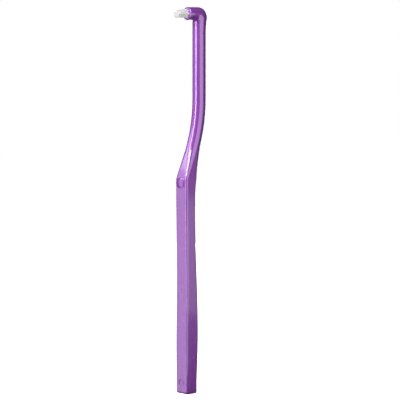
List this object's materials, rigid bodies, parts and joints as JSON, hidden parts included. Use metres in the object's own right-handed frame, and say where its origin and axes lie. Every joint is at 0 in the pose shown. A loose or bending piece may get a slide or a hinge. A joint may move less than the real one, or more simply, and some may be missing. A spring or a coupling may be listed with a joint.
{
  "type": "single-tuft toothbrush",
  "caption": "Slim hand-held interdental brush: a rectangular grip, a kinked round neck and a right-angle head with one small domed bristle tuft.",
  "frame": {"origin": "centre of the grip's section, on the flat face of the butt that the brush stands on", "axes": "+Z along the grip from the butt to the head, -Y the way the tuft points, +X across the grip's flat sides"},
  "size_m": [0.0076, 0.018, 0.175],
  "materials": {
    "handle_plastic": "glossy moulded plastic with a fine violet pearl",
    "bristle_nylon": "white nylon filament with end-rounded tips",
    "anchor_wire": "flat nickel-silver wire, cut and bright"
  },
  "bodies": {
    "root": {"handle": "handle_plastic", "tuft_centre": "bristle_nylon", "tuft_1": "bristle_nylon", "tuft_2": "bristle_nylon", "tuft_3": "bristle_nylon", "tuft_4": "bristle_nylon", "tuft_5": "bristle_nylon", "tuft_6": "bristle_nylon", "anchor_centre": "anchor_wire", "anchor_1": "anchor_wire", "anchor_2": "anchor_wire", "anchor_3": "anchor_wire", "anchor_4": "anchor_wire", "anchor_5": "anchor_wire", "anchor_6": "anchor_wire"}
  },
  "joints": []
}
